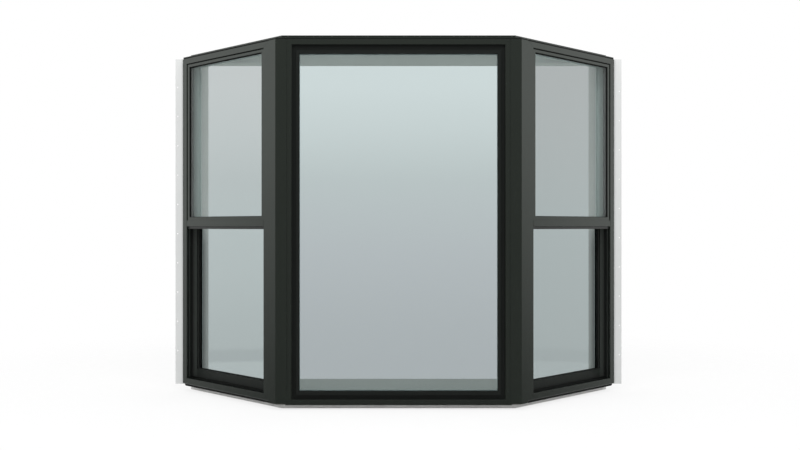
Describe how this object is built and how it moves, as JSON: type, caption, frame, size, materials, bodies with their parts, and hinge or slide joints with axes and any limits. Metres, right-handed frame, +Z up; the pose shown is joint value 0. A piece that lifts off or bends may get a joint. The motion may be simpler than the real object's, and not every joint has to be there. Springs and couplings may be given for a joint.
{
  "type": "bay window",
  "caption": "Three-sided bay window unit: fixed picture window between two angled single-hung windows, with seat and head boards and nail fins.",
  "frame": {"origin": "on the seat board's underside, on the centre line, in the plane of the wall's outer face", "axes": "+Z up, +X to the right seen from the street, +Y from the street into the room"},
  "size_m": [2.3236, 0.819, 1.747],
  "materials": {
    "bronze_frame": "satin dark bronze outside, white room side",
    "bronze_metal": "satin dark bronze coil-coated metal",
    "tinted_glass": "sealed double glazing with a faint grey-green tint",
    "board": "plywood board, primed pale",
    "room_trim": "primed pine",
    "post_core": "laminated softwood post",
    "fin_vinyl": "plain pale vinyl",
    "lock_metal": "white painted cast metal"
  },
  "bodies": {
    "root": {"center_glass": "tinted_glass", "center_glazing_stop": "bronze_frame", "center_head": "bronze_frame", "center_head_cap": "bronze_metal", "center_left_jamb": "bronze_frame", "center_right_jamb": "bronze_frame", "center_sill": "bronze_frame", "head_board": "board", "left_check_rail": "bronze_frame", "left_head": "bronze_frame", "left_head_cap": "bronze_metal", "left_inner_jamb": "bronze_frame", "left_lower_glass": "tinted_glass", "left_mullion_casing": "room_trim", "left_mullion_cover": "bronze_metal", "left_mullion_post": "post_core", "left_nail_fin": "fin_vinyl", "left_outer_jamb": "bronze_frame", "left_sash_bottom_rail": "bronze_frame", "left_sash_inner_stile": "bronze_frame", "left_sash_lock": "lock_metal", "left_sash_outer_stile": "bronze_frame", "left_sash_top_rail": "bronze_frame", "left_side_jamb": "room_trim", "left_sill": "bronze_frame", "left_upper_glass": "tinted_glass", "left_upper_glazing_frame": "bronze_frame", "right_check_rail": "bronze_frame", "right_head": "bronze_frame", "right_head_cap": "bronze_metal", "right_inner_jamb": "bronze_frame", "right_lower_glass": "tinted_glass", "right_mullion_casing": "room_trim", "right_mullion_cover": "bronze_metal", "right_mullion_post": "post_core", "right_nail_fin": "fin_vinyl", "right_outer_jamb": "bronze_frame", "right_sash_bottom_rail": "bronze_frame", "right_sash_inner_stile": "bronze_frame", "right_sash_lock": "lock_metal", "right_sash_outer_stile": "bronze_frame", "right_sash_top_rail": "bronze_frame", "right_side_jamb": "room_trim", "right_sill": "bronze_frame", "right_upper_glass": "tinted_glass", "right_upper_glazing_frame": "bronze_frame", "seat_board": "board"}
  },
  "joints": []
}
